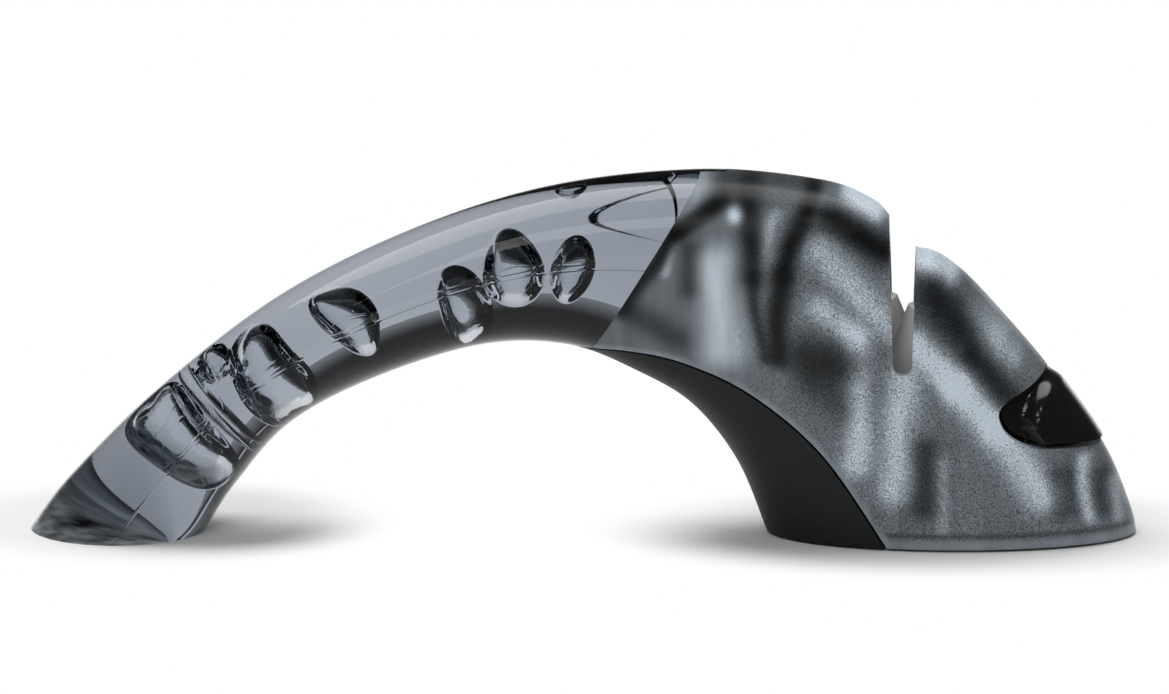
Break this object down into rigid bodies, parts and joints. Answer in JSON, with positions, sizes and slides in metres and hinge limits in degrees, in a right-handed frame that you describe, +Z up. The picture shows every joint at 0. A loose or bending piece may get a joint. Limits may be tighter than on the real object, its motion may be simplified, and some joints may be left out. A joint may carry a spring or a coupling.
{
  "type": "knife sharpener",
  "caption": "Bridge-shaped hand-held knife sharpener: clear smoke-grey arched handle, frosted hollow head with a knife slot over crossed ceramic rollers, and a sprung nose button.",
  "frame": {"origin": "on the table below the middle of the length", "axes": "+X along the length from the handle's foot to the nose, +Y across to the rear flank, +Z up"},
  "size_m": [0.21, 0.04, 0.0692],
  "materials": {
    "smoke_shell": "clear smoke grey on the handle, frosted on the head",
    "charcoal_plastic": "fine matt charcoal",
    "black_button": "polished black",
    "pale_ceramic": "fine unglazed ceramic",
    "bright_steel": "turned steel",
    "foot_rubber": "matt rubber"
  },
  "bodies": {
    "housing": {"body_shell": "smoke_shell", "arch_insert": "charcoal_plastic", "base_plate": "charcoal_plastic", "carrier_block": "charcoal_plastic", "front_pin": "bright_steel", "front_washer": "bright_steel", "front_cap": "bright_steel", "rear_pin": "bright_steel", "rear_washer": "bright_steel", "rear_cap": "bright_steel", "button_spring": "bright_steel", "base_screw_1": "bright_steel", "base_screw_2": "bright_steel", "base_screw_3": "bright_steel", "rubber_foot_1": "foot_rubber", "rubber_foot_2": "foot_rubber", "rubber_foot_3": "foot_rubber"},
    "front_roller_body": {"front_roller": "pale_ceramic"},
    "rear_roller_body": {"rear_roller": "pale_ceramic"},
    "button_body": {"nose_button": "black_button", "latch_pin": "bright_steel"}
  },
  "joints": [
    {"name": "front_roller_turn", "type": "hinge", "parent": "housing", "child": "front_roller_body", "pos_m": [0.06592, -0.0048, 0.04358], "axis": [0.3746, 0, 0.9272], "continuous": true},
    {"name": "rear_roller_turn", "type": "hinge", "parent": "housing", "child": "rear_roller_body", "pos_m": [0.05518, 0.0048, 0.04358], "axis": [-0.3746, 0, 0.9272], "continuous": true},
    {"name": "button_press", "type": "slide", "parent": "housing", "child": "button_body", "axis": [-0.8241, 0, -0.5664], "range_m": [0, 0.001], "stiffness_N_per_m": 400, "springref_m": -0.003, "deforming": ["button_spring"]}
  ]
}
